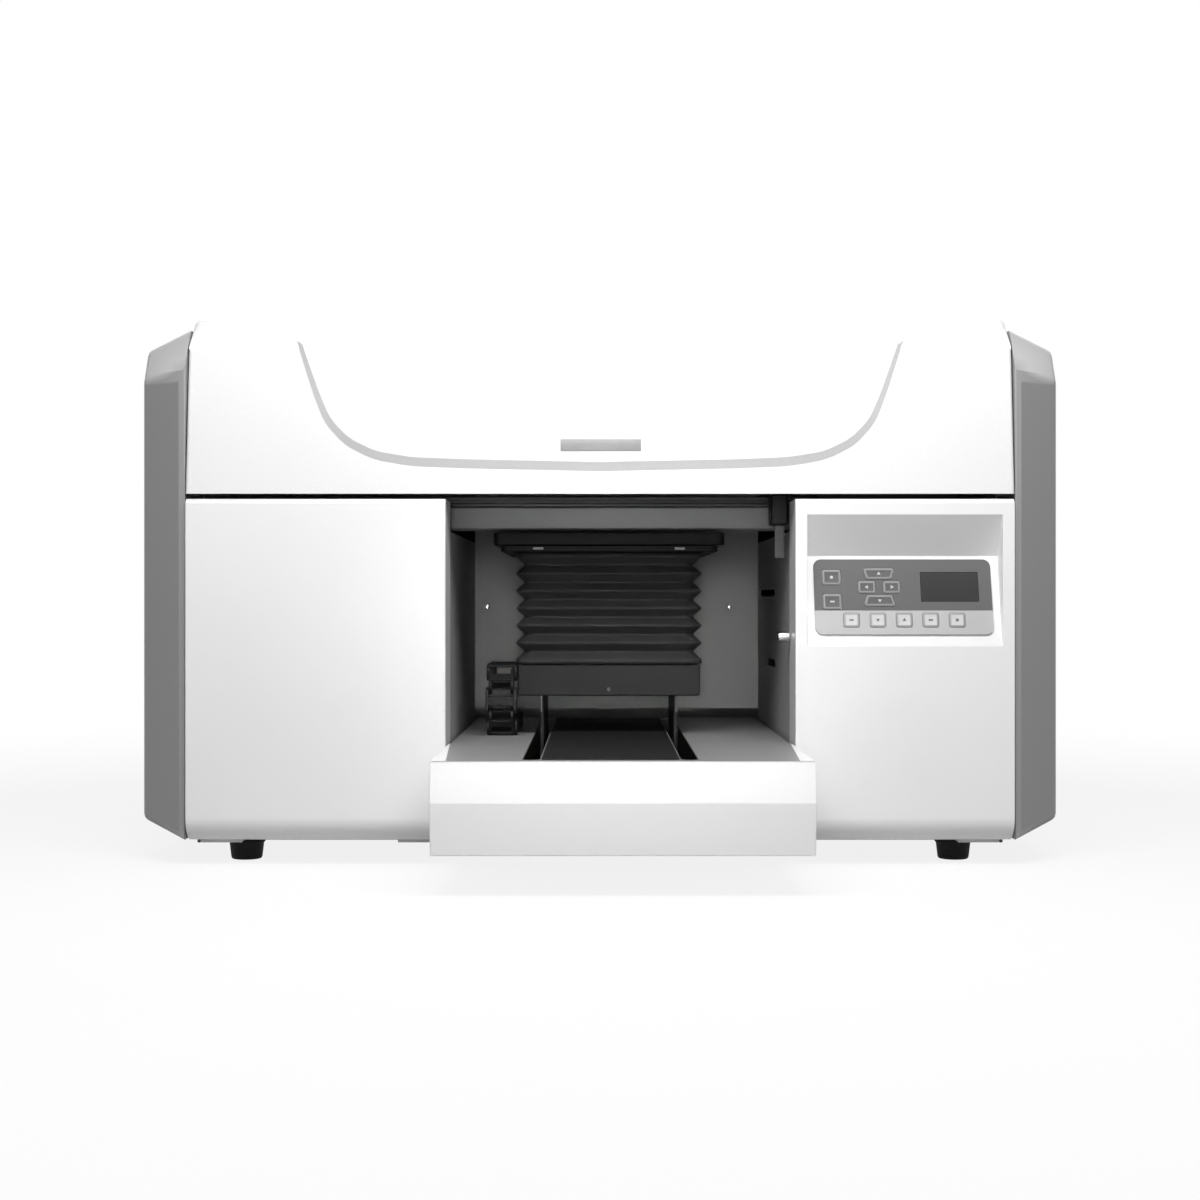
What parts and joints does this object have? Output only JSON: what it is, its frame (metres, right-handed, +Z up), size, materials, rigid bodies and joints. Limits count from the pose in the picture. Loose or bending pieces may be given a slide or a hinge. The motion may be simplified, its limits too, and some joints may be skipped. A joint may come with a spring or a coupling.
{
  "type": "flatbed uv printer",
  "caption": "Benchtop flatbed UV printer with a hinged white hood, grey side covers, a keypad recess, and a platen on a bellows lift that slides out of an open bay over a front extension.",
  "frame": {"origin": "centre of the bounding box at the level of the feet's undersides", "axes": "+X to the machine's right as seen from the front, +Y from the front extension towards the rear panel, +Z up"},
  "size_m": [0.94, 0.845, 0.5558],
  "materials": {
    "hood_white": "smooth white, satin gloss",
    "panel_white": "white powder coat",
    "cover_grey": "mid grey, fine texture",
    "chassis_sheet": "grey coated sheet",
    "bay_wall": "dark grey, matt",
    "bed_floor": "mid grey, satin",
    "black_sheet": "black anodised",
    "dark_casting": "dark grey painted casting",
    "beam_grey": "grey anodised extrusion",
    "steel": "ground steel",
    "rubber": "black, matt",
    "bellows_cloth": "black coated cloth, matt",
    "black_plastic": "black, satin",
    "motor_black": "black, satin",
    "tank_plastic": "milky white",
    "membrane_grey": "grey printed film",
    "key_grey": "light grey film over a dome",
    "display_dark": "dark, glossy"
  },
  "bodies": {
    "chassis": {"base_pan": "chassis_sheet", "left_side_plate": "chassis_sheet", "right_side_plate": "chassis_sheet", "foot_front_left": "rubber", "foot_front_right": "rubber", "foot_rear_left": "rubber", "foot_rear_right": "rubber", "left_front_panel": "panel_white", "right_front_panel": "panel_white", "left_side_cover": "cover_grey", "right_side_cover": "cover_grey", "rear_panel": "chassis_sheet", "hinge_pin_left": "steel", "hinge_pin_right": "steel", "mains_inlet": "black_plastic", "left_bay_wall": "bay_wall", "right_bay_wall": "bay_wall", "back_bay_wall": "bay_wall", "wall_stud": "steel", "front_extension": "panel_white", "bed_frame": "chassis_sheet", "bed_floor": "bed_floor", "slot_cover": "black_sheet", "y_rail_left": "steel", "y_rail_right": "steel", "y_motor": "motor_black", "gantry_beam": "beam_grey", "x_rail": "steel", "x_motor": "motor_black", "x_belt": "rubber", "height_sensor": "black_plastic", "service_station": "black_plastic", "ink_tank": "tank_plastic", "keypad_membrane": "membrane_grey", "display_window": "display_dark"},
    "hood": {"hood_shell": "hood_white"},
    "lift": {"y_carriage": "dark_casting", "lift_base": "dark_casting", "bellows": "bellows_cloth", "cable_chain": "black_plastic"},
    "table": {"platen": "black_sheet", "platen_carrier": "black_sheet"},
    "print_carriage": {"print_carriage": "black_plastic", "print_head": "steel"},
    "y_screw": {"y_screw": "steel"},
    "z_screw": {"z_screw": "steel"},
    "x_drive_pulley": {"x_drive_pulley": "steel"},
    "x_idler_pulley": {"x_idler_pulley": "steel"},
    "power_rocker": {"power_rocker": "black_plastic"},
    "key_up": {"key_up": "key_grey"},
    "key_down": {"key_down": "key_grey"},
    "key_left": {"key_left": "key_grey"},
    "key_right": {"key_right": "key_grey"},
    "key_side_upper": {"key_side_upper": "key_grey"},
    "key_side_lower": {"key_side_lower": "key_grey"},
    "key_row_1": {"key_row_1": "key_grey"},
    "key_row_2": {"key_row_2": "key_grey"},
    "key_row_3": {"key_row_3": "key_grey"},
    "key_row_4": {"key_row_4": "key_grey"},
    "key_row_5": {"key_row_5": "key_grey"}
  },
  "joints": [
    {"name": "hood_hinge", "type": "hinge", "parent": "chassis", "child": "hood", "pos_m": [0, 0.4105, 0.505], "axis": [-1, 0, 0], "range_deg": [0, 60]},
    {"name": "y_slide", "type": "slide", "parent": "chassis", "child": "lift", "axis": [0, 1, 0], "range_m": [-0.27, 0.05]},
    {"name": "z_lift", "type": "slide", "parent": "lift", "child": "table", "axis": [0, 0, 1], "range_m": [-0.06, 0], "deforming": ["bellows"]},
    {"name": "x_slide", "type": "slide", "parent": "chassis", "child": "print_carriage", "axis": [1, 0, 0], "range_m": [-0.555, 0]},
    {"name": "y_screw_spin", "type": "hinge", "parent": "chassis", "child": "y_screw", "pos_m": [0.0095, 0, 0.0668], "axis": [0, 1, 0], "continuous": true},
    {"name": "z_screw_spin", "type": "hinge", "parent": "lift", "child": "z_screw", "pos_m": [0.0095, 0.0125, 0.2], "axis": [0, 0, 1], "continuous": true},
    {"name": "x_drive_spin", "type": "hinge", "parent": "chassis", "child": "x_drive_pulley", "pos_m": [-0.3867, -0.0765, 0.3541], "axis": [0, 1, 0], "continuous": true},
    {"name": "x_idler_spin", "type": "hinge", "parent": "chassis", "child": "x_idler_pulley", "pos_m": [0.3867, -0.0765, 0.3541], "axis": [0, 1, 0], "continuous": true},
    {"name": "rocker_tilt", "type": "hinge", "parent": "chassis", "child": "power_rocker", "pos_m": [-0.3, 0.41646, 0.069], "axis": [1, 0, 0], "range_deg": [-16, 0]},
    {"name": "press_up", "type": "slide", "parent": "chassis", "child": "key_up", "axis": [0, 0.9558, -0.2941], "range_m": [0, 0.0005], "stiffness_N_per_m": 150},
    {"name": "press_down", "type": "slide", "parent": "chassis", "child": "key_down", "axis": [0, 0.9558, -0.2941], "range_m": [0, 0.0005], "stiffness_N_per_m": 150},
    {"name": "press_left", "type": "slide", "parent": "chassis", "child": "key_left", "axis": [0, 0.9558, -0.2941], "range_m": [0, 0.0005], "stiffness_N_per_m": 150},
    {"name": "press_right", "type": "slide", "parent": "chassis", "child": "key_right", "axis": [0, 0.9558, -0.2941], "range_m": [0, 0.0005], "stiffness_N_per_m": 150},
    {"name": "press_side_upper", "type": "slide", "parent": "chassis", "child": "key_side_upper", "axis": [0, 0.9558, -0.2941], "range_m": [0, 0.0005], "stiffness_N_per_m": 150},
    {"name": "press_side_lower", "type": "slide", "parent": "chassis", "child": "key_side_lower", "axis": [0, 0.9558, -0.2941], "range_m": [0, 0.0005], "stiffness_N_per_m": 150},
    {"name": "press_row_1", "type": "slide", "parent": "chassis", "child": "key_row_1", "axis": [0, 0.9558, -0.2941], "range_m": [0, 0.0005], "stiffness_N_per_m": 150},
    {"name": "press_row_2", "type": "slide", "parent": "chassis", "child": "key_row_2", "axis": [0, 0.9558, -0.2941], "range_m": [0, 0.0005], "stiffness_N_per_m": 150},
    {"name": "press_row_3", "type": "slide", "parent": "chassis", "child": "key_row_3", "axis": [0, 0.9558, -0.2941], "range_m": [0, 0.0005], "stiffness_N_per_m": 150},
    {"name": "press_row_4", "type": "slide", "parent": "chassis", "child": "key_row_4", "axis": [0, 0.9558, -0.2941], "range_m": [0, 0.0005], "stiffness_N_per_m": 150},
    {"name": "press_row_5", "type": "slide", "parent": "chassis", "child": "key_row_5", "axis": [0, 0.9558, -0.2941], "range_m": [0, 0.0005], "stiffness_N_per_m": 150}
  ],
  "couplings": [
    {"joint": "y_screw_spin", "follows": "y_slide", "rad_per_m": 314.16},
    {"joint": "z_screw_spin", "follows": "z_lift", "rad_per_m": 785.4},
    {"joint": "x_drive_spin", "follows": "x_slide", "rad_per_m": 120.48},
    {"joint": "x_idler_spin", "follows": "x_slide", "rad_per_m": 120.48}
  ]
}
